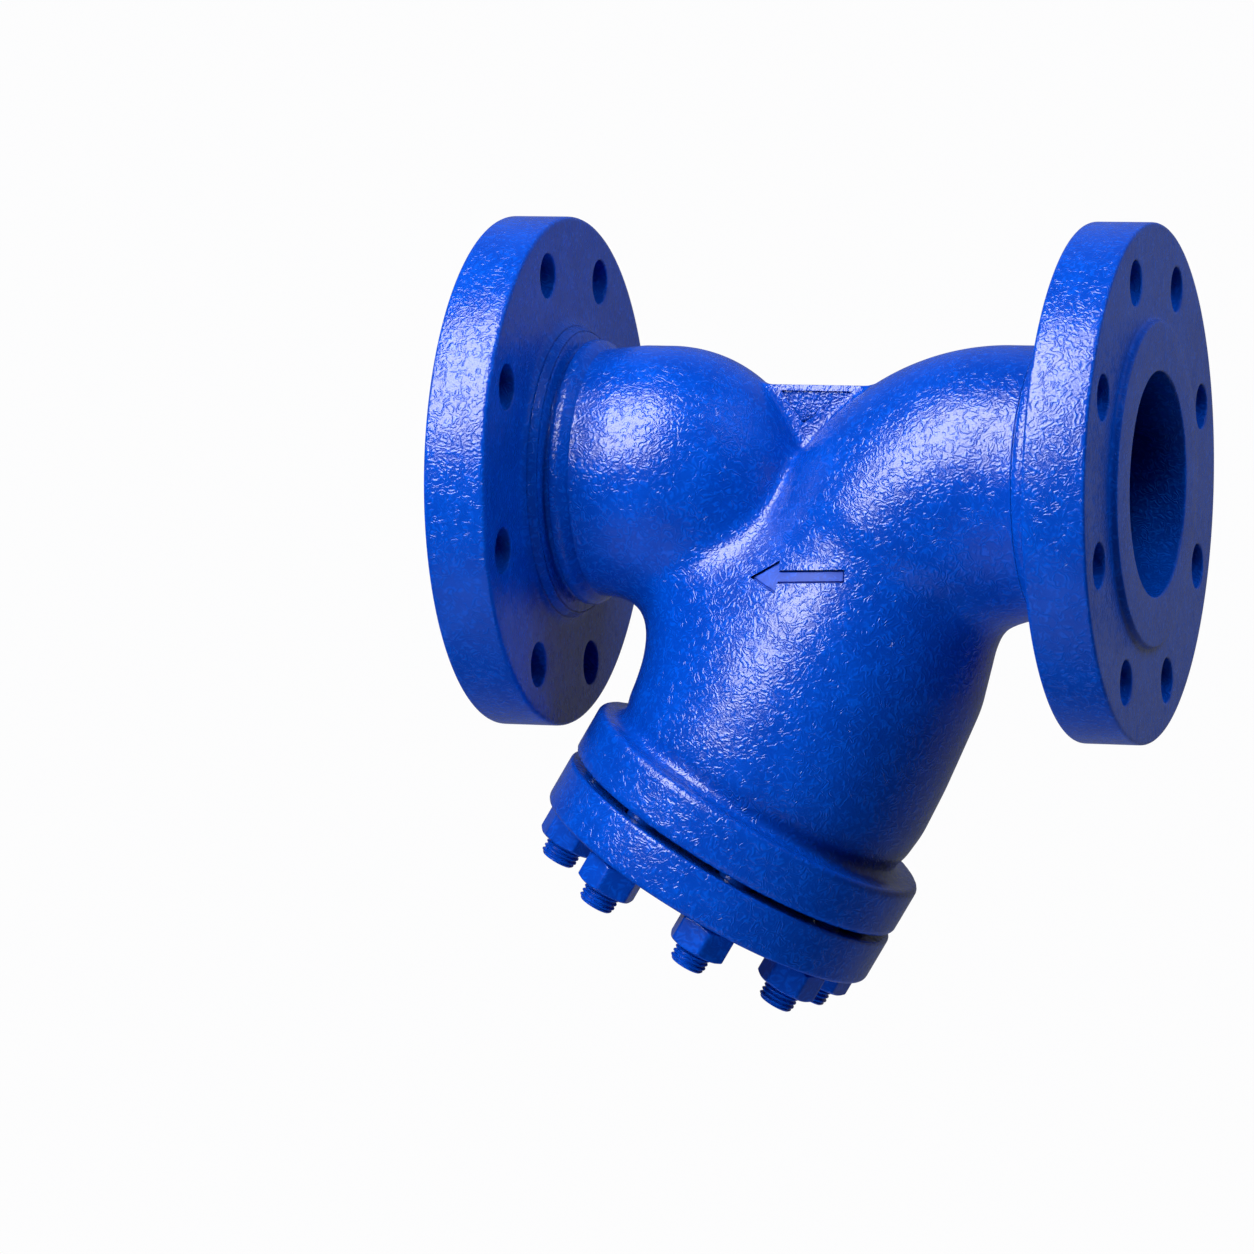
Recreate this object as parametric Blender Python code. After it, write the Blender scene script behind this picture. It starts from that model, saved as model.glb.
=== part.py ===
"""Flanged Y strainer for a 100 mm pipe line, as separate pieces at real size, in metres with +Z up.

The run axis is X: water enters the flange at +X and leaves at -X. The branch leaves the run downwards and
backwards, and its axis lies in the XZ plane. Branch pieces are modelled along their own +Z, measured from
the point where the branch axis crosses the run axis, and hang on an empty that turns +Z down the branch.
"""

import math

import bmesh
import bpy
from mathutils import Matrix, Vector

# Gap between pieces that touch.
GAP = 0.0003

# Run: length over both raised faces, bore, walls and the two pipe flanges.
FACE_TO_FACE = 0.292
BORE = 0.095
INLET_WALL = 0.010
OUTLET_WALL = 0.0075
FLANGE_OD = 0.220
FLANGE_DISC = 0.027
RAISED_FACE_WIDTH = 0.0215
RAISED_FACE_HEIGHT = 0.003
BOLT_COUNT = 8
BOLT_HOLE = 0.019
BOLT_EDGE = 0.020

# Hub behind each flange: a collar, a groove and a shoulder.
COLLAR_WIDTH = 0.0065
COLLAR_STEP = 0.0065
GROOVE_WIDTH = 0.0025
SHOULDER_WIDTH = 0.008
SHOULDER_STEP = 0.0025

# Places along the run, from the faces inwards.
BRANCH_FROM_INLET = 0.093
LOBE_FROM_OUTLET = 0.076
LOBE_END_GAP = 0.061
BEND_CLEARANCE = 0.0025
ELBOW_WALL = 0.011

# Throat that carries the water from round the screen into the outlet.
THROAT_BORE = 0.068
THROAT_WALL = 0.012
THROAT_DROP = 0.008
THROAT_ALONG_BRANCH = 0.098

# Web that stiffens the valley between the outlet lobe and the inlet elbow.
WEB_HEIGHT = 0.0392
WEB_FOOT = 0.012
WEB_THICKNESS = 0.010
WEB_REACH = 0.034

# Branch: angle below the run, place of the seat and of the flange face, and its walls.
BRANCH_ANGLE = math.radians(60)
SEAT_AT = 0.030
SEAT_LIP = 0.0008
BRANCH_LENGTH = 0.1805
BRANCH_FLANGE = 0.022
BRANCH_SHOULDER_AT = 0.076
BRANCH_FULL_AT = 0.045
CHAMBER_WALL_TOP = 0.0105
CHAMBER_WALL_MIDDLE = 0.015
CHAMBER_WALL_FOOT = 0.0205
RIM_CHAMFER = 0.0025

# Screen: a perforated tube between two end rings.
SCREEN_OD = 0.080
SCREEN_SHEET = 0.0015
RING_HEIGHT = 0.008
RING_STEP_OUT = 0.002
RING_STEP_IN = 0.001
SEAT_CLEARANCE = 0.0004
CHAMBER_CLEARANCE_TOP = 0.006
CHAMBER_CLEARANCE = 0.008

# Cover, gasket, studs and nuts.
GASKET_THICKNESS = 0.003
GASKET_WIDTH = 0.005
COVER_THICKNESS = 0.021
COVER_RECESS = 0.006
STUD_COUNT = 8
STUD_DIAMETER = 0.016
STUD_FROM_GASKET = 0.0007
STUD_EDGE = 0.0165
STUD_DEPTH = 0.0175
STUD_PROUD = 0.008
STUD_HOLE_CLEARANCE = 0.001
NUT_WALL = 0.004
NUT_HEIGHT = 0.013
NUT_CHAMFER = 0.0018
HEXAGON_SIDES = 6

# Drain plug in the middle of the cover.
PLUG_DIAMETER = 0.0209
PLUG_SHANK = 0.014
PLUG_HEAD = 0.006
PLUG_ACROSS_FLATS = 0.024
PLUG_SEAL_OD = 0.027
PLUG_SEAL_THICKNESS = 0.0015

# Sides of the round pieces.
RUN_SIDES = 56
TUBE_SIDES = 36
HOLE_SIDES = 16
BEND_STEPS = 8
DOME_STEPS = 7

# Sizes and places that follow from those above.
HALF_LENGTH = FACE_TO_FACE / 2
BORE_RADIUS = BORE / 2
DISC_BACK = HALF_LENGTH - RAISED_FACE_HEIGHT - FLANGE_DISC
INLET_PIPE_RADIUS = BORE_RADIUS + INLET_WALL
LOBE_RADIUS = BORE_RADIUS + OUTLET_WALL
BOLT_CIRCLE_RADIUS = FLANGE_OD / 2 - BOLT_EDGE
BRANCH_X = HALF_LENGTH - BRANCH_FROM_INLET
LOBE_X = LOBE_FROM_OUTLET - HALF_LENGTH
LOBE_REACH = BRANCH_X - LOBE_X - LOBE_END_GAP
BEND_RADIUS = BORE_RADIUS + BEND_CLEARANCE
BEND_TANGENT = BEND_RADIUS * math.tan(BRANCH_ANGLE / 2)
ELBOW_RADIUS = BORE_RADIUS + ELBOW_WALL
SCREEN_RADIUS = SCREEN_OD / 2
RING_RADIUS = SCREEN_RADIUS + RING_STEP_OUT
RING_BORE_RADIUS = SCREEN_RADIUS - SCREEN_SHEET - RING_STEP_IN
SEAT_BORE_RADIUS = RING_BORE_RADIUS - SEAT_LIP
SEAT_POCKET_RADIUS = RING_RADIUS + SEAT_CLEARANCE
CHAMBER_TOP_RADIUS = SCREEN_RADIUS + CHAMBER_CLEARANCE_TOP
CHAMBER_RADIUS = SCREEN_RADIUS + CHAMBER_CLEARANCE
CHAMBER_TOP = SEAT_AT + RING_HEIGHT
STUD_RADIUS = STUD_DIAMETER / 2
STUD_CIRCLE_RADIUS = CHAMBER_RADIUS + GAP + GASKET_WIDTH + STUD_FROM_GASKET + STUD_RADIUS
RIM_RADIUS = STUD_CIRCLE_RADIUS + STUD_EDGE
NUT_ACROSS_FLATS = STUD_DIAMETER + 2 * NUT_WALL
COVER_TOP = BRANCH_LENGTH + GASKET_THICKNESS
COVER_BOTTOM = COVER_TOP + COVER_THICKNESS
RECESS_FLOOR = COVER_TOP + COVER_RECESS
NUT_TOP = COVER_BOTTOM + GAP
NUT_BOTTOM = NUT_TOP + NUT_HEIGHT
PLUG_RADIUS = PLUG_DIAMETER / 2
PLUG_HEAD_TOP = COVER_BOTTOM + PLUG_SEAL_THICKNESS + 2 * GAP


def clear_scene():
    """Removes what the startup scene holds."""
    for obj in list(bpy.data.objects):
        bpy.data.objects.remove(obj, do_unlink=True)


def finish_material(name, colour, roughness, metallic):
    """A plain finish: base colour in linear light, roughness and metallic value."""
    material = bpy.data.materials.new(name)
    material.use_nodes = True
    shader = material.node_tree.nodes["Principled BSDF"]
    shader.inputs["Base Color"].default_value = (*colour, 1.0)
    shader.inputs["Roughness"].default_value = roughness
    shader.inputs["Metallic"].default_value = metallic
    return material


def add_object(name, shape, material=None):
    """Puts a bmesh into the scene as an object, with its normals out and its round sides smooth."""
    bmesh.ops.remove_doubles(shape, verts=shape.verts, dist=1e-7)
    bmesh.ops.recalc_face_normals(shape, faces=shape.faces)
    mesh = bpy.data.meshes.new(name)
    shape.to_mesh(mesh)
    shape.free()
    mesh.shade_smooth()
    mesh.set_sharp_from_angle(angle=math.radians(30))
    if material:
        mesh.materials.append(material)
    obj = bpy.data.objects.new(name, mesh)
    bpy.context.scene.collection.objects.link(obj)
    return obj


def combine(obj, helper, operation):
    """Adds a live Boolean of a helper to an object."""
    modifier = obj.modifiers.new(helper.name, "BOOLEAN")
    modifier.operation = operation
    modifier.solver = "EXACT"
    modifier.object = helper


def turned_shape(profile, sides):
    """Spins a closed loop of (radius, height) points about Z."""
    shape = bmesh.new()
    loop = [shape.verts.new((radius, 0.0, height)) for radius, height in profile]
    edges = [shape.edges.new((loop[i - 1], loop[i])) for i in range(len(loop))]
    bmesh.ops.spin(
        shape,
        geom=loop + edges,
        cent=(0, 0, 0),
        axis=(0, 0, 1),
        angle=2 * math.pi,
        steps=sides,
        use_merge=True,
    )
    bmesh.ops.remove_doubles(shape, verts=shape.verts, dist=1e-7)
    loose = [edge for edge in shape.edges if not edge.link_faces]
    bmesh.ops.delete(shape, geom=loose, context="EDGES")
    return shape


def ring_profile(inner, outer, low, high, chamfer=0.0):
    """Section of a plain ring, with its two outer corners chamfered."""
    return [
        (inner, high),
        (outer - chamfer, high),
        (outer, high - chamfer),
        (outer, low + chamfer),
        (outer - chamfer, low),
        (inner, low),
    ]


def solid_profile(radius, low, high, chamfer=0.0):
    """Section of a plain disc or rod about Z."""
    return ring_profile(0.0, radius, low, high, chamfer)


def flat_turn(x, y):
    """Turn about its own axis that faces a flat, not a corner, of a many-sided rod to the circle's centre."""
    return math.atan2(y, x) + math.pi / HOLE_SIDES


def add_rods(shape, radius, low, high, places):
    """Adds one upright rod to a bmesh at each (x, y) place."""
    for x, y in places:
        centre = Matrix.Translation((x, y, (low + high) / 2))
        bmesh.ops.create_cone(
            shape,
            cap_ends=True,
            segments=HOLE_SIDES,
            radius1=radius,
            radius2=radius,
            depth=high - low,
            matrix=centre @ Matrix.Rotation(flat_turn(x, y), 4, "Z"),
        )


def circle_places(radius, count):
    """Points round a circle that straddle the X axis, as flange bolt holes do."""
    step = 2 * math.pi / count
    return [(radius * math.cos(step * (i + 0.5)), radius * math.sin(step * (i + 0.5))) for i in range(count)]


def tube_shape(centres, directions, radii, sides):
    """Lofts circles through a path in the XZ plane and caps both ends."""
    shape = bmesh.new()
    across = Vector((0, 1, 0))
    rings = []
    for centre, direction, radius in zip(centres, directions, radii, strict=True):
        upward = direction.cross(across)
        ring = []
        for i in range(sides):
            turn = 2 * math.pi * i / sides
            offset = across * math.cos(turn) + upward * math.sin(turn)
            ring.append(shape.verts.new(centre + radius * offset))
        rings.append(ring)
    for ring, following in zip(rings, rings[1:]):
        for i in range(sides):
            shape.faces.new((ring[i - 1], ring[i], following[i], following[i - 1]))
    shape.faces.new(rings[0])
    shape.faces.new(rings[-1])
    return shape


def branch_point(along):
    """World point on the branch axis at a distance from where it crosses the run axis."""
    return Vector((BRANCH_X - along * math.cos(BRANCH_ANGLE), 0, -along * math.sin(BRANCH_ANGLE)))


def add_branch_axis():
    """Empty on the branch axis: its +Z runs down the branch."""
    axis = bpy.data.objects.new("branch_axis", None)
    axis.location = branch_point(0)
    axis.rotation_euler = (0, -(math.pi / 2 + BRANCH_ANGLE), 0)
    bpy.context.scene.collection.objects.link(axis)
    return axis


def add_run_axis(name, turn):
    """Empty on the run axis: its +Z runs out of one flange."""
    axis = bpy.data.objects.new(name, None)
    axis.rotation_euler = (0, turn, 0)
    bpy.context.scene.collection.objects.link(axis)
    return axis


def hub_profile(pipe_radius, pipe_end):
    """Section of a flange with its raised face, its hub rings and the pipe behind it, along +Z."""
    face_radius = BORE_RADIUS + RAISED_FACE_WIDTH
    collar_end = DISC_BACK - COLLAR_WIDTH
    groove_end = collar_end - GROOVE_WIDTH
    shoulder_end = groove_end - SHOULDER_WIDTH
    shoulder_radius = pipe_radius + SHOULDER_STEP
    return [
        (0.0, HALF_LENGTH),
        (face_radius, HALF_LENGTH),
        (face_radius, HALF_LENGTH - RAISED_FACE_HEIGHT),
        (FLANGE_OD / 2 - RIM_CHAMFER / 2, HALF_LENGTH - RAISED_FACE_HEIGHT),
        (FLANGE_OD / 2, HALF_LENGTH - RAISED_FACE_HEIGHT - RIM_CHAMFER / 2),
        (FLANGE_OD / 2, DISC_BACK + RIM_CHAMFER),
        (FLANGE_OD / 2 - RIM_CHAMFER, DISC_BACK),
        (pipe_radius + COLLAR_STEP, DISC_BACK),
        (pipe_radius + COLLAR_STEP, collar_end),
        (pipe_radius, collar_end),
        (pipe_radius, groove_end),
        (shoulder_radius, groove_end),
        (shoulder_radius, shoulder_end),
        (pipe_radius, shoulder_end - SHOULDER_STEP),
        (pipe_radius, pipe_end),
        (0.0, pipe_end),
    ]


def lobe_profile(radius, reach, start):
    """Section of the outlet from a face inwards, closed by half an ellipse towards the branch."""
    dome = []
    for i in range(1, DOME_STEPS):
        turn = math.pi / 2 * i / DOME_STEPS
        dome.append((radius * math.cos(turn), -LOBE_X - reach * math.sin(turn)))
    return [(0.0, start), (radius, start), (radius, -LOBE_X), *dome, (0.0, -LOBE_X - reach)]


def bend_path():
    """Centres, directions and turns of the inlet's path from the run axis into the branch axis."""
    middle = Vector((BRANCH_X + BEND_TANGENT, 0, -BEND_RADIUS))
    centres = []
    directions = []
    for i in range(BEND_STEPS + 1):
        turn = BRANCH_ANGLE * i / BEND_STEPS
        centres.append(middle + BEND_RADIUS * Vector((-math.sin(turn), 0, math.cos(turn))))
        directions.append(Vector((-math.cos(turn), 0, -math.sin(turn))))
    return middle, centres, directions


def elbow_outside():
    """Outside of the bend: a circle cut off at the bend's own axis, and spun about that axis."""
    middle, _, _ = bend_path()
    half_angle = math.acos(-BEND_RADIUS / ELBOW_RADIUS)
    shape = bmesh.new()
    loop = []
    for i in range(TUBE_SIDES + 1):
        turn = half_angle * (2 * i / TUBE_SIDES - 1)
        height = BEND_RADIUS + ELBOW_RADIUS * math.cos(turn)
        if i in (0, TUBE_SIDES):
            height = 0.0
        loop.append(shape.verts.new(middle + Vector((0, ELBOW_RADIUS * math.sin(turn), height))))
    face = shape.faces.new(loop)
    bmesh.ops.spin(
        shape,
        geom=[face, *face.edges, *face.verts],
        cent=middle,
        axis=(0, 1, 0),
        angle=-BRANCH_ANGLE,
        steps=BEND_STEPS,
    )
    return shape


def inlet_passage():
    """Inlet bore: straight in along the run, round the bend, and down to the seat of the screen."""
    _, centres, directions = bend_path()
    steps = len(centres) - 1
    radii = [BORE_RADIUS + (SEAT_BORE_RADIUS - BORE_RADIUS) * i / steps for i in range(steps + 1)]
    centres = [Vector((HALF_LENGTH + RAISED_FACE_HEIGHT, 0, 0)), *centres]
    directions = [directions[0], *directions]
    radii = [BORE_RADIUS, *radii]
    centres.append(branch_point(max(SEAT_AT, BEND_TANGENT) + RING_HEIGHT / 2))
    directions.append(directions[-1])
    radii.append(SEAT_BORE_RADIUS)
    return tube_shape(centres, directions, radii, TUBE_SIDES)


def throat(radius, start_back, end_back):
    """Slanting tube between the outlet lobe and the chamber round the screen."""
    start = Vector((LOBE_X, 0, -THROAT_DROP))
    end = branch_point(THROAT_ALONG_BRANCH)
    direction = (end - start).normalized()
    centres = [start + direction * start_back, end - direction * end_back]
    return tube_shape(centres, [direction, direction], [radius, radius], TUBE_SIDES)


def web_plate():
    """Upright plate in the XZ plane whose ends run into the lobe and the elbow."""
    shape = bmesh.new()
    span = Matrix.Diagonal((2 * WEB_REACH, WEB_THICKNESS, WEB_HEIGHT - WEB_FOOT, 1))
    place = Matrix.Translation((BRANCH_X - LOBE_END_GAP, 0, (WEB_HEIGHT + WEB_FOOT) / 2))
    bmesh.ops.create_cube(shape, size=1.0, matrix=place @ span)
    return shape


def branch_profile():
    """Section of the branch's outside, swelling from the elbow to the branch flange."""
    flange_top = BRANCH_LENGTH - BRANCH_FLANGE
    foot_radius = CHAMBER_RADIUS + CHAMBER_WALL_FOOT
    return [
        (0.0, SEAT_AT - RING_HEIGHT),
        (CHAMBER_TOP_RADIUS + CHAMBER_WALL_TOP, SEAT_AT - RING_HEIGHT),
        (CHAMBER_RADIUS + CHAMBER_WALL_TOP, SEAT_AT + RING_HEIGHT),
        (CHAMBER_RADIUS + CHAMBER_WALL_MIDDLE, BRANCH_SHOULDER_AT),
        (foot_radius, flange_top - BRANCH_FULL_AT),
        (foot_radius, flange_top - RIM_CHAMFER),
        (foot_radius + RIM_CHAMFER, flange_top),
        (RIM_RADIUS - RIM_CHAMFER, flange_top),
        (RIM_RADIUS, flange_top + RIM_CHAMFER),
        (RIM_RADIUS, BRANCH_LENGTH - RIM_CHAMFER),
        (RIM_RADIUS - RIM_CHAMFER, BRANCH_LENGTH),
        (0.0, BRANCH_LENGTH),
    ]


def chamber_profile():
    """Section of the space round the screen, with the pocket for the screen's top ring."""
    return [
        (0.0, SEAT_AT),
        (SEAT_POCKET_RADIUS, SEAT_AT),
        (SEAT_POCKET_RADIUS, CHAMBER_TOP),
        (CHAMBER_TOP_RADIUS, CHAMBER_TOP),
        (CHAMBER_RADIUS, BRANCH_SHOULDER_AT),
        (CHAMBER_RADIUS, BRANCH_LENGTH + GASKET_THICKNESS),
        (0.0, BRANCH_LENGTH + GASKET_THICKNESS),
    ]


def helper_from(name, shape, parent=None):
    """Adds a shape that only cuts or adds to another one, on the axis that it is modelled along."""
    helper = add_object(name, shape)
    helper.hide_render = True
    helper.display_type = "WIRE"
    helper.parent = parent
    return helper


def add_strainer_body(branch_axis, inlet_axis, outlet_axis, material):
    """Cast body: two flanged ends, the outlet lobe, the inlet elbow and the branch in one piece."""
    inlet_end = hub_profile(INLET_PIPE_RADIUS, BRANCH_X + BEND_TANGENT - INLET_WALL)
    body = add_object("strainer_body", turned_shape(inlet_end, RUN_SIDES), material)
    body.parent = inlet_axis

    outlet_end = turned_shape(hub_profile(LOBE_RADIUS, -LOBE_X + OUTLET_WALL), RUN_SIDES)
    lobe = turned_shape(lobe_profile(LOBE_RADIUS, LOBE_REACH, -LOBE_X + 2 * OUTLET_WALL), TUBE_SIDES)
    additions = [
        helper_from("branch_outside", turned_shape(branch_profile(), RUN_SIDES), branch_axis),
        helper_from("elbow_outside", elbow_outside()),
        helper_from("lobe_outside", lobe, outlet_axis),
        helper_from("outlet_end", outlet_end, outlet_axis),
        helper_from("throat_outside", throat(THROAT_BORE / 2 + THROAT_WALL, 0, 0)),
        helper_from("web", web_plate()),
    ]
    for addition in additions:
        combine(body, addition, "UNION")

    bolt_holes = bmesh.new()
    places = circle_places(BOLT_CIRCLE_RADIUS, BOLT_COUNT)
    add_rods(bolt_holes, BOLT_HOLE / 2, DISC_BACK - COLLAR_WIDTH, HALF_LENGTH, places)
    outlet_bolt_holes = bolt_holes.copy()
    stud_holes = bmesh.new()
    stud_places = circle_places(STUD_CIRCLE_RADIUS, STUD_COUNT)
    hole_bottom = BRANCH_LENGTH - STUD_DEPTH - GAP
    add_rods(stud_holes, STUD_RADIUS + GAP, hole_bottom, BRANCH_LENGTH + GASKET_THICKNESS, stud_places)
    outlet_inside = lobe_profile(BORE_RADIUS, LOBE_REACH - INLET_WALL, HALF_LENGTH + RAISED_FACE_HEIGHT)
    cuts = [
        helper_from("inlet_passage", inlet_passage()),
        helper_from("chamber", turned_shape(chamber_profile(), TUBE_SIDES), branch_axis),
        helper_from("outlet_passage", turned_shape(outlet_inside, TUBE_SIDES), outlet_axis),
        helper_from("throat_passage", throat(THROAT_BORE / 2, 0, INLET_WALL)),
        helper_from("inlet_bolt_holes", bolt_holes, inlet_axis),
        helper_from("outlet_bolt_holes", outlet_bolt_holes, outlet_axis),
        helper_from("stud_holes", stud_holes, branch_axis),
    ]
    for cut in cuts:
        combine(body, cut, "DIFFERENCE")


def add_cover(branch_axis, material):
    """Round cast cover with a recess that centres the screen, stud holes and a tapped drain hole."""
    profile = [
        (0.0, RECESS_FLOOR),
        (SEAT_POCKET_RADIUS, RECESS_FLOOR),
        (SEAT_POCKET_RADIUS, COVER_TOP),
        (RIM_RADIUS - RIM_CHAMFER, COVER_TOP),
        (RIM_RADIUS, COVER_TOP + RIM_CHAMFER),
        (RIM_RADIUS, COVER_BOTTOM - RIM_CHAMFER),
        (RIM_RADIUS - RIM_CHAMFER, COVER_BOTTOM),
        (0.0, COVER_BOTTOM),
    ]
    cover = add_object("cover", turned_shape(profile, RUN_SIDES), material)
    cover.parent = branch_axis
    holes = bmesh.new()
    places = circle_places(STUD_CIRCLE_RADIUS, STUD_COUNT)
    add_rods(holes, STUD_RADIUS + STUD_HOLE_CLEARANCE, COVER_TOP - GAP, COVER_BOTTOM + GAP, places)
    add_rods(holes, PLUG_RADIUS + GAP, RECESS_FLOOR - GAP, COVER_BOTTOM + GAP, [(0.0, 0.0)])
    combine(cover, helper_from("cover_holes", holes, branch_axis), "DIFFERENCE")


def add_gasket(branch_axis, material):
    """Flat ring between the branch flange and the cover, inside the studs."""
    inner = CHAMBER_RADIUS + GAP
    profile = ring_profile(inner, inner + GASKET_WIDTH, BRANCH_LENGTH + GAP, COVER_TOP - GAP)
    gasket = add_object("cover_gasket", turned_shape(profile, RUN_SIDES), material)
    gasket.parent = branch_axis


def add_screen(branch_axis, sheet_material, ring_material):
    """Strainer screen: a sheet tube between a top ring on the seat and a bottom ring in the cover."""
    top = SEAT_AT + GAP
    bottom = RECESS_FLOOR - GAP
    pieces = [
        ("screen_top_ring", RING_BORE_RADIUS, RING_RADIUS, top, top + RING_HEIGHT - GAP, ring_material),
        ("screen_bottom_ring", RING_BORE_RADIUS, RING_RADIUS, bottom - RING_HEIGHT, bottom, ring_material),
        (
            "screen",
            SCREEN_RADIUS - SCREEN_SHEET,
            SCREEN_RADIUS,
            top + RING_HEIGHT,
            bottom - RING_HEIGHT - GAP,
            sheet_material,
        ),
    ]
    for name, inner, outer, low, high, material in pieces:
        piece = add_object(name, turned_shape(ring_profile(inner, outer, low, high), TUBE_SIDES), material)
        piece.parent = branch_axis


def add_stud(number, place, branch_axis, material):
    """Stud screwed into the branch flange, through the cover and its nut."""
    low = BRANCH_LENGTH - STUD_DEPTH
    high = NUT_BOTTOM + STUD_PROUD
    shape = turned_shape(solid_profile(STUD_RADIUS, low, high, RIM_CHAMFER / 2), HOLE_SIDES)
    stud = add_object(f"stud_{number}", shape, material)
    stud.parent = branch_axis
    stud.location = (*place, 0)
    stud.rotation_euler = (0, 0, flat_turn(*place))


def hexagon_shape(across_flats, low, high, chamfer):
    """Six-sided prism whose corners are turned off at the far end."""
    corner = across_flats / math.sqrt(3)
    shape = bmesh.new()
    rings = []
    for height, radius in ((low, corner), (high - chamfer, corner), (high, corner - chamfer)):
        ring = []
        for i in range(HEXAGON_SIDES):
            turn = 2 * math.pi * i / HEXAGON_SIDES
            ring.append(shape.verts.new((radius * math.cos(turn), radius * math.sin(turn), height)))
        rings.append(ring)
    for ring, following in zip(rings, rings[1:]):
        for i in range(HEXAGON_SIDES):
            shape.faces.new((ring[i - 1], ring[i], following[i], following[i - 1]))
    shape.faces.new(rings[0])
    shape.faces.new(rings[-1])
    return shape


def add_nut(number, place, branch_axis, material):
    """Hexagon nut on a stud, seated on the cover."""
    shape = hexagon_shape(NUT_ACROSS_FLATS, NUT_TOP, NUT_BOTTOM, NUT_CHAMFER)
    nut = add_object(f"nut_{number}", shape, material)
    nut.parent = branch_axis
    nut.location = (*place, 0)
    nut.rotation_euler = (0, 0, flat_turn(*place))
    bore = turned_shape(solid_profile(STUD_RADIUS + GAP, NUT_TOP - GAP, NUT_BOTTOM + GAP), HOLE_SIDES)
    combine(nut, helper_from(f"nut_{number}_bore", bore, nut), "DIFFERENCE")


def add_drain_plug(branch_axis, plug_material, seal_material):
    """Low hexagon-headed plug in the middle of the cover, on a flat sealing ring."""
    shank_top = COVER_BOTTOM - PLUG_SHANK
    plug = add_object(
        "drain_plug",
        hexagon_shape(PLUG_ACROSS_FLATS, PLUG_HEAD_TOP, PLUG_HEAD_TOP + PLUG_HEAD, NUT_CHAMFER / 2),
        plug_material,
    )
    plug.parent = branch_axis
    shank_profile = solid_profile(PLUG_RADIUS, shank_top, PLUG_HEAD_TOP + PLUG_HEAD / 2, GAP)
    shank = helper_from("drain_plug_shank", turned_shape(shank_profile, HOLE_SIDES), branch_axis)
    shank.rotation_euler = (0, 0, flat_turn(0, 0))
    combine(plug, shank, "UNION")

    low = COVER_BOTTOM + GAP
    seal_profile = ring_profile(PLUG_RADIUS + GAP, PLUG_SEAL_OD / 2, low, low + PLUG_SEAL_THICKNESS)
    seal = add_object("drain_plug_seal", turned_shape(seal_profile, TUBE_SIDES), seal_material)
    seal.parent = branch_axis


def build_strainer():
    """Models every piece of the strainer in its place."""
    clear_scene()
    enamel = finish_material("blue_enamel", (0.0, 0.062, 0.578), 0.32, 0.0)
    nut_enamel = finish_material("blue_enamel_smooth", (0.0, 0.06, 0.5), 0.28, 0.0)
    stainless = finish_material("stainless_sheet", (0.55, 0.56, 0.57), 0.32, 1.0)
    ring_steel = finish_material("stainless_ring", (0.6, 0.6, 0.6), 0.28, 1.0)
    graphite = finish_material("gasket_graphite", (0.03, 0.03, 0.032), 0.7, 0.0)
    copper = finish_material("copper_seal", (0.62, 0.29, 0.16), 0.35, 1.0)

    branch_axis = add_branch_axis()
    inlet_axis = add_run_axis("inlet_axis", math.pi / 2)
    outlet_axis = add_run_axis("outlet_axis", -math.pi / 2)
    add_strainer_body(branch_axis, inlet_axis, outlet_axis, enamel)
    add_cover(branch_axis, enamel)
    add_gasket(branch_axis, graphite)
    add_screen(branch_axis, stainless, ring_steel)
    for number, place in enumerate(circle_places(STUD_CIRCLE_RADIUS, STUD_COUNT), start=1):
        add_stud(number, place, branch_axis, nut_enamel)
        add_nut(number, place, branch_axis, nut_enamel)
    add_drain_plug(branch_axis, nut_enamel, copper)


build_strainer()
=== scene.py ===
import math

import bmesh
import bpy
import numpy as np
from mathutils import Matrix, Vector


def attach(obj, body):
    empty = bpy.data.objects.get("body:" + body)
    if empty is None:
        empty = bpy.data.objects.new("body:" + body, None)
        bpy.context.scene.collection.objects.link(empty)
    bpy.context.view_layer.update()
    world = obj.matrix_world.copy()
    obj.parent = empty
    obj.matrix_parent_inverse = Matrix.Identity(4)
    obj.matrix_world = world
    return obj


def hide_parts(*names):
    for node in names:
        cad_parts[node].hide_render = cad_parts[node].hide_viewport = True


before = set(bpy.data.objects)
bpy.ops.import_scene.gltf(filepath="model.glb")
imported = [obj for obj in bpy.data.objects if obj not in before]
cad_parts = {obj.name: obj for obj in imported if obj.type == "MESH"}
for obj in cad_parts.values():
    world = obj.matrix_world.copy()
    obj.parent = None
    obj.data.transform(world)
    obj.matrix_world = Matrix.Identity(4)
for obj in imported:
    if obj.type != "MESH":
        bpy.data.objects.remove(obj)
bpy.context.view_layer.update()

# The strainer body is one iron casting: outlet barrel, inlet elbow, slanting branch with its flange, and web.
# It is moulded in sand, so wherever two walls meet there is a soft fillet, and the iron is about 10 mm thick.
# Its skin is worked out as a distance field in millimetres, and the water's way through it is hollowed out.
MM = 0.001
BRANCH_X = 53.0
BRANCH_ANGLE = math.radians(60)
DOWN_X, DOWN_Z = -math.cos(BRANCH_ANGLE), -math.sin(BRANCH_ANGLE)
BEND_RADIUS = 50.0
BEND_TANGENT = BEND_RADIUS * math.tan(BRANCH_ANGLE / 2)
BEND_X = round(BRANCH_X + BEND_TANGENT, 2)
PIPE_RADIUS = 57.5
ELBOW_RADIUS = 58.5
BORE_RADIUS = 47.5
SEAT_BORE_RADIUS = 36.7
BARREL_RADIUS = 55.0
BARREL_START = -70.0
BARREL_REACH = 59.0
BARREL_WAIST, WAIST_FROM, WAIST_TAPER = 1.6, 82, 14
BARREL_FILLET, LEG_FILLET = 14.0, 13.0
IRON = 10.0
SEAT_AT, SEAT_BORE_END, SEAT_FILLET = 30, 40, 4.0
FLANGE_HIGH, FLANGE_LOW = 158.5, 180.5
RIM_RADIUS = 78.5
RIM_ROUND = 2.5
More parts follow.
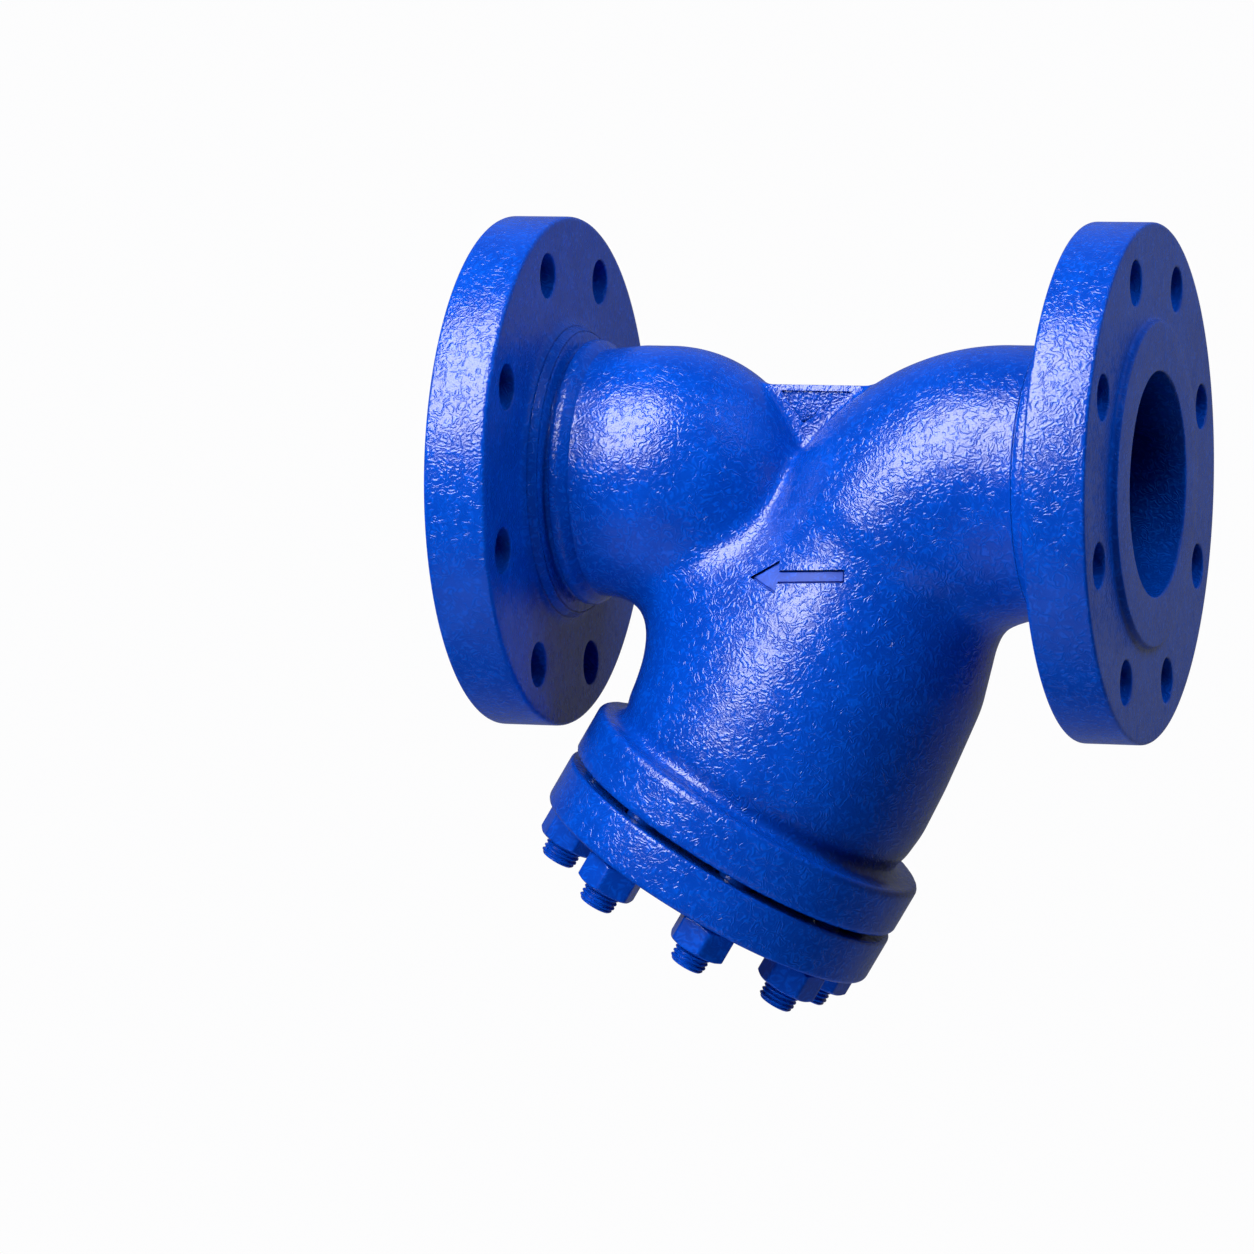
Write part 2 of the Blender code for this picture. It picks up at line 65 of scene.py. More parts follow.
FLANGE_FILLET, FLANGE_LIP = 8.0, 4
# This net stops inside the hubs of the flange ends, which are a net each. Lower down, the branch passes them.
RUN_CUT, FLANGE_CLEAR = 104.0, 62.0


def lengths(*sides):
    """Length of a vector given by its sides: the root of the sum of their squares."""
    return np.sqrt(sum(side * side for side in sides))


def run_together(first, second, fillet):
    """Distance to two shapes joined by a fillet: the nearer one, sunk by up to a quarter of the fillet."""
    share = np.clip(0.5 + 0.5 * (second - first) / fillet, 0, 1)
    return second + (first - second) * share - fillet * share * (1 - share)


def smooth_curve(stations, sizes, soften):
    """A size along an axis: straight lines between stations, averaged under a bell curve, soften wide."""
    step = 0.5
    fine = np.arange(-120.0, 320.0, step)
    bell = np.hanning(int(soften / step) + 3)
    padded = np.pad(np.interp(fine, stations, sizes), len(bell) // 2, mode="edge")
    smooth = np.convolve(padded, bell / bell.sum(), mode="valid")[: len(fine)]
    return lambda place: np.interp(place, fine, smooth)


def branch_places(p):
    """Distance of each point down the branch axis, and away from it in the XZ plane, up and to the left."""
    x, z = p[:, 0] - BRANCH_X, p[:, 2]
    return DOWN_X * x + DOWN_Z * z, DOWN_Z * x - DOWN_X * z


def barrel_distance(p, radius, reach):
    """A cylinder on the run axis that ends in half an ellipsoid: k(k-1)/g, with k the ellipsoid's size there
    and g the length of k's slope."""
    past = np.maximum(p[:, 0] - BARREL_START, 0)
    away = lengths(p[:, 1], p[:, 2]) + BARREL_WAIST * np.clip((-p[:, 0] - WAIST_FROM) / WAIST_TAPER, 0, 1)
    size = lengths(past / reach, away / radius)
    slope = lengths(past / reach**2, away / radius**2) + 1e-9
    return size * (size - 1) / slope


def elbow_distance(p, run_radius, end_radius, down_radius, fillet, aside):
    """A pipe in along the run, round a tapering 60 degree bend, and down the branch with its own radii."""
    x, y, z = p.T
    down, off = branch_places(p)
    off = off - aside(down)
    run = lengths(y, z, np.maximum(BEND_X - x, 0)) - run_radius
    leg = lengths(y, off, np.maximum(BEND_TANGENT - down, 0)) - down_radius(down)
    u, w = x - BEND_X, z + BEND_RADIUS
    turn = np.arctan2(-u, w) / BRANCH_ANGLE
    radius = run_radius + (end_radius - run_radius) * np.clip(turn, 0, 1)
    arc = lengths(lengths(u, w) - BEND_RADIUS, y) - radius
    arc = np.where((turn >= 0) & (turn <= 1), arc, np.inf)
    return np.minimum(run_together(run, leg, fillet), arc)


def rod_distance(p, start, end, radius):
    """A straight rod with round ends: distance to the nearest point of its axis, less its radius."""
    start, way = np.array(start), np.array(end) - np.array(start)
    share = np.clip((p - start) @ way / (way @ way), 0, 1)
    return lengths(*(p - start - share[:, None] * way).T) - radius


def disc_distance(along, away, high, low, radius, rounding):
    """A round disc between two stations of its axis, with its edges rounded off."""
    out = away - radius + rounding
    over = np.abs(along - (low + high) / 2) - (low - high) / 2 + rounding
    return lengths(np.maximum(out, 0), np.maximum(over, 0)) + np.minimum(np.maximum(out, over), 0) - rounding


leg_outside = smooth_curve(
    [0, 29, 40, 52, 76, 95, 115, 138, 150, 158, 164],
    [58.5, 58.5, 56.4, 57.0, 62.8, 65, 67.2, 68.6, 68.2, 64.5, 63.5],
    10,
)
leg_shift = smooth_curve([0, 30, 42, 56, 80, 135, 160], [0, 0, 2.6, 1.6, 0.3, 0.3, 2.0], 10)
leg_inside = smooth_curve(
    [0, 29, SEAT_AT, 38, 39, 76], [SEAT_BORE_RADIUS, SEAT_BORE_RADIUS, 42.6, 42.6, 46, 48], 1
)
straight = smooth_curve([0, 1], [0, 0], 2)
seat_pipe = smooth_curve([0, 1], [SEAT_BORE_RADIUS, SEAT_BORE_RADIUS], 2)
NECK_REACH, NECK_ASIDE, NECK_RADIUS = 122, 8, 40.0
NECK_START = (-52.0, 0.0, -12.0)
NECK_END = (
    BRANCH_X + DOWN_X * NECK_REACH + DOWN_Z * NECK_ASIDE, 0.0, DOWN_Z * NECK_REACH - DOWN_X * NECK_ASIDE
)
THROAT_REACH, THROAT_RADIUS, THROAT_FILLET, THROAT_RIGHT = 98, 34.0, 8.0, 30
THROAT_START = (BARREL_START, 0.0, -8.0)
THROAT_END = (BRANCH_X + DOWN_X * THROAT_REACH, 0.0, DOWN_Z * THROAT_REACH)
VALLEY_LEVELS, VALLEY_FILLETS = (-46, -10), (28.0, 8.0)
WEB_TOP, WEB_HEIGHT, WEB_HALF = 39.2, 32, 5.0
WEB_MIDDLE, WEB_REACH = -7, 34
WEB_ROUND, WEB_FILLET = 1.2, 2.5


def web_distance(p):
    """An upright plate between barrel and elbow, with its long edges rounded."""
    x, y, z = p.T
    out = np.abs(y) - WEB_HALF + WEB_ROUND
    over = np.abs(z - (WEB_TOP - WEB_HEIGHT / 2)) - WEB_HEIGHT / 2 + WEB_ROUND
    plate = lengths(np.maximum(out, 0), np.maximum(over, 0)) + np.minimum(np.maximum(out, over), 0)
    return np.maximum(plate - WEB_ROUND, np.abs(x - WEB_MIDDLE) - WEB_REACH)


def casting_distance(p):
    """The outside of the casting with its fillets, less the water's way through it."""
    down, off = branch_places(p)
    away = lengths(off, p[:, 1])
    barrel = barrel_distance(p, BARREL_RADIUS, BARREL_REACH)
    neck = rod_distance(p, NECK_START, NECK_END, NECK_RADIUS)
    elbow = elbow_distance(p, PIPE_RADIUS, ELBOW_RADIUS, leg_outside, LEG_FILLET, leg_shift)
    valley = np.interp(p[:, 2], VALLEY_LEVELS, VALLEY_FILLETS)
    outside = run_together(run_together(barrel, neck, BARREL_FILLET), elbow, valley)
    outside = run_together(outside, web_distance(p), WEB_FILLET)
    flange = disc_distance(down, away, FLANGE_HIGH, FLANGE_LOW, RIM_RADIUS, RIM_ROUND)
    outside = np.where(down > FLANGE_LOW - FLANGE_LIP, flange, run_together(outside, flange, FLANGE_FILLET))
    run_in = elbow_distance(p, BORE_RADIUS, SEAT_BORE_RADIUS, seat_pipe, SEAT_FILLET, straight)
    run_in = np.maximum(run_in, down - SEAT_BORE_END)
    chamber = np.maximum(away - leg_inside(down), SEAT_AT - down)
    barrel_inside = barrel_distance(p, BORE_RADIUS, BARREL_REACH - IRON)
    throat = rod_distance(p, THROAT_START, THROAT_END, THROAT_RADIUS)
    throat = np.maximum(throat, p[:, 0] - THROAT_RIGHT)
    water = np.minimum(np.minimum(run_in, chamber), run_together(barrel_inside, throat, THROAT_FILLET))
    ends = np.where(p[:, 2] > -FLANGE_CLEAR, np.abs(p[:, 0]) - RUN_CUT, -np.inf)
    return np.maximum(np.maximum(outside, -water), ends)


def sampled(distance, low, high, step):
    """A distance field on an even grid of points between two corners, taken a layer at a time along X."""
    axes = [np.arange(a, b + step, step) for a, b in zip(low, high)]
    y, z = np.meshgrid(axes[1], axes[2], indexing="ij")
    layers = [distance(np.stack([np.full(y.size, x), y.ravel(), z.ravel()], 1)) for x in axes[0]]
    return np.array(layers).reshape(len(axes[0]), *y.shape)


def net_surface(field, low, step):
    """The closed quad net where a field changes sign: one point in each crossed cell, at the mean of the
    crossings on its edges, and one quad round each crossed grid edge, wound so that it faces out."""
    inside = field < 0
    cells = tuple(n - 1 for n in field.shape)
    total, count = np.zeros((*cells, 3)), np.zeros(cells)
    crossings = []
    for axis in range(3):
        ends = [np.take(field, np.arange(k, field.shape[axis] - 1 + k), axis) for k in (0, 1)]
        first = np.take(inside, np.arange(field.shape[axis] - 1), axis)
        crossed = first != np.take(inside, np.arange(1, field.shape[axis]), axis)
        share = np.where(crossed, ends[0] / np.where(crossed, ends[0] - ends[1], 1), 0)
        crossings.append((crossed, first))
        place = np.stack(np.indices(crossed.shape), -1).astype(float)
        place[..., axis] += share
        place *= crossed[..., None]
        for shift in ((0, 0), (0, 1), (1, 0), (1, 1)):
            part = [slice(None)] * 3
            part[(axis + 1) % 3] = slice(shift[0], shift[0] + cells[(axis + 1) % 3])
            part[(axis + 2) % 3] = slice(shift[1], shift[1] + cells[(axis + 2) % 3])
            total += place[tuple(part)]
            count += crossed[tuple(part)]
    used = count > 0
    number = np.full(cells, -1)
    number[used] = np.arange(used.sum())
    points = np.array(low) + step * total[used] / count[used][:, None]
    quads = []
    for axis, (crossed, first) in enumerate(crossings):
        at = np.array(np.nonzero(crossed)).T
        across, upward = (axis + 1) % 3, (axis + 2) % 3
        corners = []
        for back in ((1, 1), (0, 1), (0, 0), (1, 0)):
            cell = at.copy()
            cell[:, across] -= back[0]
            cell[:, upward] -= back[1]
            corners.append(number[tuple(cell.T)])
        quad = np.array(corners).T
        hollow = ~first[tuple(at.T)]
        quad[hollow] = quad[hollow][:, ::-1]
        quads.append(quad)
    return points, np.concatenate(quads)


def gradient(distance, points, reach=0.15):
    """Slope of a distance field at points, from its values a little to each side of them."""
    sides = [distance(points + reach * row) - distance(points - reach * row) for row in np.eye(3)]
    return np.stack(sides, 1) / (2 * reach)


def settled(points, quads, distance, rounds, most=0.8):
    """Evens a net out and lays it on its surface: each point slides along the surface, halfway to the mean of
    its neighbours, then steps down the field's slope by its value, by so many millimetres at most."""
    ends = np.concatenate([quads[:, [i, (i + 1) % 4]] for i in range(4)])
    ends = np.concatenate([ends, ends[:, ::-1]])
    many = np.bincount(ends[:, 0], minlength=len(points))
    for _ in range(rounds):
        slope = gradient(distance, points)
        slope /= np.maximum(lengths(*slope.T), 1e-6)[:, None]
        mean = [np.bincount(ends[:, 0], points[ends[:, 1], k], len(points)) / many for k in range(3)]
        slide = np.stack(mean, 1) - points
        points = points + 0.5 * (slide - (slide * slope).sum(1)[:, None] * slope)
        slope = gradient(distance, points)
        step = (distance(points) / np.maximum((slope * slope).sum(1), 0.3))[:, None] * slope
        points = points - np.clip(step, -most, most)
    return points


def mesh_from(name, points, faces):
    """Mesh of a net in millimetres. Points that share a place are merged, and faces are turned outwards."""
    _, keep, same = np.unique(np.round(points, 4), axis=0, return_index=True, return_inverse=True)
    same = same.reshape(-1)
    loops, sizes = [], []
    for group in faces:
        group = same[group]
        kept = group != np.roll(group, 1, axis=1)
        whole = kept.sum(1) >= 3
        loops.append(group[whole][kept[whole]])
        sizes.append(kept[whole].sum(1))
    loops, sizes = np.concatenate(loops), np.concatenate(sizes)
    mesh = bpy.data.meshes.new(name)
    mesh.vertices.add(len(keep))
    mesh.vertices.foreach_set("co", (points[keep] * MM).astype(np.float32).ravel())
    mesh.loops.add(len(loops))
    mesh.loops.foreach_set("vertex_index", loops.astype(np.int32))
    mesh.polygons.add(len(sizes))
    mesh.polygons.foreach_set("loop_start", (np.cumsum(sizes) - sizes).astype(np.int32))
    mesh.update(calc_edges=True)
    mesh.validate()
    shape = bmesh.new()
    shape.from_mesh(mesh)
    bmesh.ops.recalc_face_normals(shape, faces=shape.faces)
    shape.to_mesh(mesh)
    shape.free()
    mesh.shade_smooth()
    return mesh


def add_piece(name, points, faces, body, slot, material, replaced=(), crisp=None, soften=0.0):
    """Makes an object of a net, rides it on its body and hides the CAD nodes it stands for. Edges over the
    angle crisp, in degrees, are rounded off by soften millimetres or left sharp."""
    mesh = mesh_from(name, points, faces)
    mesh.materials.append(material)
    piece = bpy.data.objects.new(name, mesh)
    bpy.context.scene.collection.objects.link(piece)
    if soften:
        bevel = piece.modifiers.new("soft edges", "BEVEL")
        bevel.width, bevel.segments = soften * MM, 2
        bevel.limit_method = "ANGLE"
        bevel.angle_limit = math.radians(crisp)
    elif crisp:
        mesh.set_sharp_from_angle(angle=math.radians(crisp))
    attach(piece, body)
    if replaced:
        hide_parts(*replaced)
    return piece


class Amount:
    """A number in a finish that changes over the surface. Each sum on it adds a Math node."""

    def __init__(self, finish, socket):
        self.finish = finish
        self.socket = socket

    def sum(self, operation, first, second=0.0):
        """Adds a Math node over two amounts or numbers."""
        return self.finish.node("ShaderNodeMath", {"operation": operation}, {0: first, 1: second})

    def __add__(self, other):
        return self.sum("ADD", self, other)

    def __mul__(self, other):
        return self.sum("MULTIPLY", self, other)

    def __pow__(self, other):
        return self.sum("POWER", self, other)

    __radd__ = __add__
    __rmul__ = __mul__

    def wave(self):
        """Sine of the amount, moved to run from 0 to 1."""
        return self.sum("SINE", self) * 0.5 + 0.5

    def between(self, low, high):
        """0 below low and 1 above high, with a smooth step between them."""
        limits = {"From Min": low, "From Max": high, "To Min": 0.0, "To Max": 1.0, "Value": self}
        return self.finish.node("ShaderNodeMapRange", {"interpolation_type": "SMOOTHSTEP"}, limits)


class Finish:
    """A material under construction: one method adds nodes, and one sets or links a socket of the shader."""

    def __init__(self, name, **fixed):
        self.material = bpy.data.materials.new(name)
        self.material.use_nodes = True
        self.tree = self.material.node_tree
        self.shader = self.tree.nodes["Principled BSDF"]
        self.place = self.node("ShaderNodeTexCoord", output="Object")
        for socket, value in fixed.items():
            self.put(self.shader.inputs[socket.replace("_", " ")], value)

    def put(self, socket, value):
        """Links an amount to a socket, or sets the socket to a fixed value."""
        if isinstance(value, Amount):
            self.tree.links.new(value.socket, socket)
        else:
            socket.default_value = value

    def node(self, kind, settings=(), values=(), output=0):
        """Adds a node with its settings and socket values, and returns the amount at one of its outputs."""
        made = self.tree.nodes.new(kind)
        for key, setting in dict(settings).items():
            setattr(made, key, setting)
        for key, value in dict(values).items():
            self.put(made.inputs[key], value)
        return Amount(self, made.outputs[output])

    def noise(self, scale, detail=2.0, roughness=0.5, distortion=0.0, place=None):
        """Cloudy noise from 0 to 1, with scale as lumps in a metre."""
        values = {"Scale": scale, "Detail": detail, "Roughness": roughness, "Distortion": distortion}
        return self.node("ShaderNodeTexNoise", (), {"Vector": place or self.place, **values})

    def blend(self, share, first, second):
        """Colour that runs from first to second as share runs from 0 to 1."""
        return self.node("ShaderNodeMix", {"data_type": "RGBA"}, {0: share, 6: first, 7: second}, output=2)

    def bump(self, height, distance, strength=1.0):
        """Raises the surface by height times distance, in metres, in the shading only."""
        values = {"Height": height, "Distance": distance, "Strength": strength}
        self.put(self.shader.inputs["Normal"], self.node("ShaderNodeBump", (), values))


# DEEP_BLUE and BRIGHT_BLUE are the enamel's two tones. The base colour runs to DEEP_BLUE in the wrinkles'
# troughs as painted shade, and between the two at random in patches of tone.
DEEP_BLUE, BRIGHT_BLUE = (0.0, 0.034, 0.31, 1.0), (0.0, 0.058, 0.46, 1.0)
WRINKLES = 44.0
GRAIN_ROUGHNESS = 0.14


def enamel(name, wrinkle_depth, wrinkle_size, roughness, grain_depth):
    """Glossy blue enamel that has dried in short curling wrinkles over a grainy casting: contour lines of a
    slow noise, broken up by a second noise, over a fine grain."""
    finish = Finish(name, Metallic=0.0, IOR=1.5, Specular_IOR_Level=0.5)
    slow = finish.noise(1 / wrinkle_size, detail=1.5, distortion=0.35)
    lines = (slow * WRINKLES).wave() ** 1.4
    patches = finish.noise(1.7 / wrinkle_size).between(0.36, 0.60)
    grain = finish.noise(7.0 / wrinkle_size, roughness=0.65)
    height = lines * (patches * 0.75 + 0.25) + grain * grain_depth
    finish.bump(height, wrinkle_depth)
    shade = finish.noise(0.3 / wrinkle_size)
    # Painted shade: hollow is low in the troughs of the wrinkle lines, so the base colour darkens there
    # towards DEEP_BLUE. The shade noise is random tone, not light.
    hollow = (lines * patches * 0.45 + shade * 0.55).between(0.1, 0.75)
    finish.put(finish.shader.inputs["Base Color"], finish.blend(hollow, DEEP_BLUE, BRIGHT_BLUE))
    level = roughness - GRAIN_ROUGHNESS / 2
    finish.put(finish.shader.inputs["Roughness"], grain * GRAIN_ROUGHNESS + level)
    return finish.material


cast_enamel = enamel(
    "cast_blue_enamel", wrinkle_depth=0.00015, wrinkle_size=0.0050, roughness=0.20, grain_depth=0.5
)
GRID_LOW, GRID_HIGH, GRID_STEP = (-110.3, -83.3, -200.3), (110.3, 83.3, 63.3), 2.0
SETTLING_ROUNDS = 4
field = sampled(casting_distance, GRID_LOW, GRID_HIGH, GRID_STEP)
net, quads = net_surface(field, GRID_LOW, GRID_STEP)
net = settled(net, quads, casting_distance, SETTLING_ROUNDS)
casting = add_piece(
    "body_casting", net, [quads], "body_with_studs", "blue_enamel", cast_enamel, ["strainer_body"]
)


# The flow arrow is sunk in the front of the branch, and both faces of the web have a sunk, stippled panel.
# The pattern maker put all three on the pattern, so they come out of the sand with the casting.
ARROW_TIP = (-16.8, -43.2)
ARROW_LENGTH, ARROW_SHAFT, ARROW_HEAD, ARROW_BARBS = 43.0, 2.8, 12.5, 7.0
ARROW_RISE = 0.033
ARROW_DEPTH, ARROW_FLOOR, ARROW_GROOVE = 2.4, 1.2, 0.5
ARROW_STEP, ARROW_POINT = 0.5, 0.25
BEFORE_BRANCH, CUTTER_DEPTH = -66.0, 8
PANEL_CORNERS = ((-19.5, 36.6), (12.2, 36.6), (-9.6, 22.6))
PANEL_DEPTH, PANEL_CUTTER_DEPTH = 1.0, 6
PANEL_ROWS, PANEL_COLUMNS, PANEL_END = 34, 52, 0.97
STIPPLE_DEPTH, STIPPLE_SEED = 0.12, 7
CRISP_ANGLE = 48


def skin_depth(x, z, near, depth, rounds=12, most=4, share=0.9):
    """Y of the casting's front skin at each (x, z), sunk by a depth: steps along Y by a share of the field's
    value, by so many millimetres at most."""
    points = np.stack([x.ravel(), np.full(x.size, near), z.ravel()], 1)
    for _ in range(rounds):
        points[:, 1] += np.clip(casting_distance(points) + depth.ravel(), -most, most) * share
    return points[:, 1].reshape(x.shape)


def slab(x, z, inner, outer):
    """Closed cutter over a grid of (x, z) places: an inner and an outer sheet, and four edge strips."""
    rows, columns = x.shape
    sheets = np.stack([np.stack([x, y, z], -1) for y in (inner, outer)])
    number = np.arange(sheets[..., 0].size).reshape(2, rows, columns)
    inner_sheet = number[0]
    front = np.stack([
        inner_sheet[:-1, :-1], inner_sheet[1:, :-1], inner_sheet[1:, 1:], inner_sheet[:-1, 1:],
    ], -1)
    back = front[..., ::-1] + rows * columns
    border = np.concatenate([
        inner_sheet[0, :-1], inner_sheet[:-1, -1], inner_sheet[-1, :0:-1], inner_sheet[:0:-1, 0],
    ])
    following = np.roll(border, -1)
    strip = np.stack([border, following, following + rows * columns, border + rows * columns], -1)
    return sheets.reshape(-1, 3), np.concatenate([front.reshape(-1, 4), back.reshape(-1, 4), strip])


def cut_from(piece, cutters):
    """Cuts closed nets out of a piece, one after another, each with its own finish, and keeps edges crisp."""
    for count, (points, faces, finish) in enumerate(cutters):
        shape = mesh_from(f"{piece.name}_cutter_{count}", points, [faces])
        shape.materials.append(finish)
        cutter = bpy.data.objects.new(shape.name, shape)
        bpy.context.scene.collection.objects.link(cutter)
        modifier = piece.modifiers.new("cut", "BOOLEAN")
        modifier.operation, modifier.solver = "DIFFERENCE", "MANIFOLD"
        modifier.object, modifier.material_mode = cutter, "TRANSFER"
        cut = piece.evaluated_get(bpy.context.evaluated_depsgraph_get())
        mesh = bpy.data.meshes.new_from_object(cut)
        piece.modifiers.clear()
        piece.data = mesh
        bpy.data.objects.remove(cutter)
    piece.data.shade_smooth()
    piece.data.set_sharp_from_angle(angle=math.radians(CRISP_ANGLE))


along = np.arange(0.0, ARROW_LENGTH + 0.01, ARROW_STEP)[:, None]
half = np.interp(
    along,
    [0, ARROW_HEAD, ARROW_HEAD + ARROW_STEP, ARROW_LENGTH],
    [ARROW_POINT, ARROW_BARBS, ARROW_SHAFT, ARROW_SHAFT],
)
# The arrow's columns crowd towards its edges, where its outline groove is.
across = np.array([0, 0.2, 0.4, 0.55, 0.68, 0.78, 0.86, 0.93, 1])
across = np.concatenate([-across[:0:-1], across])
from_edge = np.minimum(half * (1 - np.abs(across)), ARROW_LENGTH - along)
depth = ARROW_FLOOR + (ARROW_DEPTH - ARROW_FLOOR) * np.clip(1.8 - from_edge / ARROW_GROOVE, 0, 1)
x = ARROW_TIP[0] + along + 0 * across
z = ARROW_TIP[1] + ARROW_RISE * along + half * across
floor_y = skin_depth(x, z, BEFORE_BRANCH, depth)
sunk_enamel = enamel(
    "sunk_blue_enamel", wrinkle_depth=0.00003, wrinkle_size=0.0048, roughness=0.62, grain_depth=0.6
)
arrow = (*slab(x, z, floor_y, floor_y - CUTTER_DEPTH), sunk_enamel)

down, across = np.meshgrid(
    np.linspace(0, PANEL_END, PANEL_ROWS), np.linspace(0, 1, PANEL_COLUMNS), indexing="ij"
)
left, right, low = (np.array(corner) for corner in PANEL_CORNERS)
left = left + (low - left) * down[..., None]
right = right + (low - right) * down[..., None]
x, z = np.moveaxis(left + (right - left) * across[..., None], -1, 0)
stipple = np.random.default_rng(STIPPLE_SEED).normal(0, STIPPLE_DEPTH, x.shape)
panel_y = WEB_HALF - PANEL_DEPTH + stipple
panels = [
    (*slab(x, z, side * panel_y, side * (panel_y + PANEL_CUTTER_DEPTH)), cast_enamel) for side in (-1, 1)
]
cut_from(casting, [arrow, *panels])


# Each end of the run is a flange cast in one with the body: a disc with eight drilled bolt holes, a raised
# face turned flat for the pipe's gasket, and hub rings behind the disc. Both are painted with the body.
DISC_FRONT, DISC_BACK, FACE = 143.0, 116.0, 146.0
BAND_IN, BAND_OUT = 74.0, 106.0
BOLT_CIRCLE, BOLT_HOLE, BOLT_HOLE_LIP = 90.0, 9.5, 0.9
COLUMNS = 192
FLANGE_BORE = BORE_RADIUS - 0.05
outlet_hub = [
    (116, 64.5, 3), (111.8, 62.0, 2.5), (109.3, 60.6, 1.6), (108.4, 54.6, 1.0), (106.9, 54.4, 0.8),
    (105.9, 57.2, 1.3), (101.8, 57.2, 1.6), (98.6, 54.0, 2.4), (97, 51.5, 1), (96, 50, 0),
    (96, FLANGE_BORE, 0),
]
inlet_hub = [
    (116, 65.5, 3), (110.5, 62.4, 3), (104.5, 60.0, 2.5), (99.4, 60.2, 2.4), (96.6, 57.4, 1.6),
    (95.0, 55.5, 0.8), (94, 51, 0), (94, FLANGE_BORE, 0),
]
raised_face = [(FACE, FLANGE_BORE, 1.2), (FACE, 68.6, 0.9), (DISC_FRONT, 69.4, 1.3)]
FLANGE_RADIUS = 110
rim = [(DISC_FRONT, FLANGE_RADIUS, 1.6), (DISC_BACK, FLANGE_RADIUS, 2.2)]


class Axis:
    """A centre line, a direction across it that angles start from, and the third direction."""

    def __init__(self, origin, along, across):
        self.origin, self.along, self.across = (np.array(row, float) for row in (origin, along, across))
        self.third = np.cross(self.along, self.across)

    def at(self, along, x, y):
        """Points at a distance along the line and at x and y across it."""
        steps = zip((along, x, y), (self.along, self.across, self.third))
        return self.origin + sum(np.asarray(size)[..., None] * way for size, way in steps)


def rounded(corners, steps=5):
    """Outline through (along, radius, rounding) corners. Each corner becomes a parabola that leaves the
    straight lines its rounding away from the corner, so a corner without rounding stays as it is."""
    place, cut = np.array(corners, float)[:, :2], np.array(corners, float)[:, 2]
    before, after = np.roll(place, 1, 0) - place, np.roll(place, -1, 0) - place
    before *= (cut / np.maximum(lengths(*before.T), 1e-9))[:, None]
    after *= (cut / np.maximum(lengths(*after.T), 1e-9))[:, None]
    k = np.linspace(0, 1, steps)[None, :, None]
    curve = place[:, None] + (1 - k) ** 2 * before[:, None] + k**2 * after[:, None]
    return curve.reshape(-1, 2)


def lattice(points, close_rows=False, close_columns=True):
    """Points and quads of a lattice of rows and columns."""
    number = np.arange(points[..., 0].size).reshape(points.shape[:2])
    number = np.pad(number, ((0, int(close_rows)), (0, int(close_columns))), mode="wrap")
    quads = np.stack([number[:-1, :-1], number[1:, :-1], number[1:, 1:], number[:-1, 1:]], -1)
    return points.reshape(-1, 3), quads.reshape(-1, 4)


def turned(axis, outline, columns=COLUMNS, closed=False):
    """Surface swept by an outline of (along, radius) points that turns about an axis."""
    angle = 2 * np.pi * np.arange(columns) / columns
    along, radius = (np.asarray(outline)[:, k][:, None] for k in (0, 1))
    return lattice(axis.at(along + 0 * angle, radius * np.cos(angle), radius * np.sin(angle)), closed)


def holed_band(axis, inner, outer, low, high, circle, hole, lip, holes=8):
    """Both flat faces of a flange between two radii, with round holes through them. The net round each hole
    runs from the edge of its own sector straight to the hole, over a rounded lip and down the hole's wall."""
    turn = np.pi / holes
    steps, side_steps, flat_rows, lip_rows = COLUMNS // holes, 8, 7, 4
    arc, spoke = np.linspace(-turn, turn, steps + 1), np.linspace(outer, inner, side_steps + 1)
    radius = np.concatenate([np.full(steps, outer), spoke[:-1], np.full(steps, inner), spoke[:0:-1]])
    angle = np.concatenate([arc[:-1], np.full(side_steps, turn), arc[:0:-1], np.full(side_steps, -turn)])
    edge = np.stack([radius * np.cos(angle) - circle, radius * np.sin(angle)])
    unit = edge / lengths(*edge)
    share = np.linspace(0, 1, flat_rows)[:, None]
    flat = edge[:, None] * (1 - share) + unit[:, None] * (hole + lip) * share
    k = np.linspace(0, np.pi / 2, lip_rows + 1)[1:, None]
    over = unit[:, None] * (hole + lip * (1 - np.sin(k)))
    sunk = np.concatenate([np.zeros(flat_rows), (lip * (1 - np.cos(k)))[:, 0]])
    half = np.concatenate([flat, over], 1)
    x, y = np.concatenate([half, half[:, ::-1]], 1)
    along = np.concatenate([high - sunk, (low + sunk)[::-1]])[:, None] + 0 * x
    patches = []
    for start in turn * (1 + 2 * np.arange(holes)):
        across = (x + circle) * np.cos(start) - y * np.sin(start)
        third = (x + circle) * np.sin(start) + y * np.cos(start)
        patches.append(lattice(axis.at(along, across, third)))
    return patches


def together(*patches):
    """One net out of several patches."""
    shift = np.cumsum([0] + [len(points) for points, _ in patches])
    faces = np.concatenate([quads + first for (_, quads), first in zip(patches, shift)])
    return np.concatenate([points for points, _ in patches]), [faces]


for name, way, hub in (("outlet_flange", -1, outlet_hub), ("inlet_flange", 1, inlet_hub)):
    axis = Axis((0, 0, 0), (way, 0, 0), (0, 0, 1))
    outside = rounded([(DISC_FRONT, BAND_OUT, 0), *rim, (DISC_BACK, BAND_OUT, 0)], 6)
    inside = rounded([(DISC_BACK, BAND_IN, 0), *hub, *raised_face, (DISC_FRONT, BAND_IN, 0)], 6)
    band = holed_band(axis, BAND_IN, BAND_OUT, DISC_BACK, DISC_FRONT, BOLT_CIRCLE, BOLT_HOLE, BOLT_HOLE_LIP)
    net, faces = together(turned(axis, outside), turned(axis, inside), *band)
    add_piece(name, net, faces, "body_with_studs", "blue_enamel", cast_enamel)


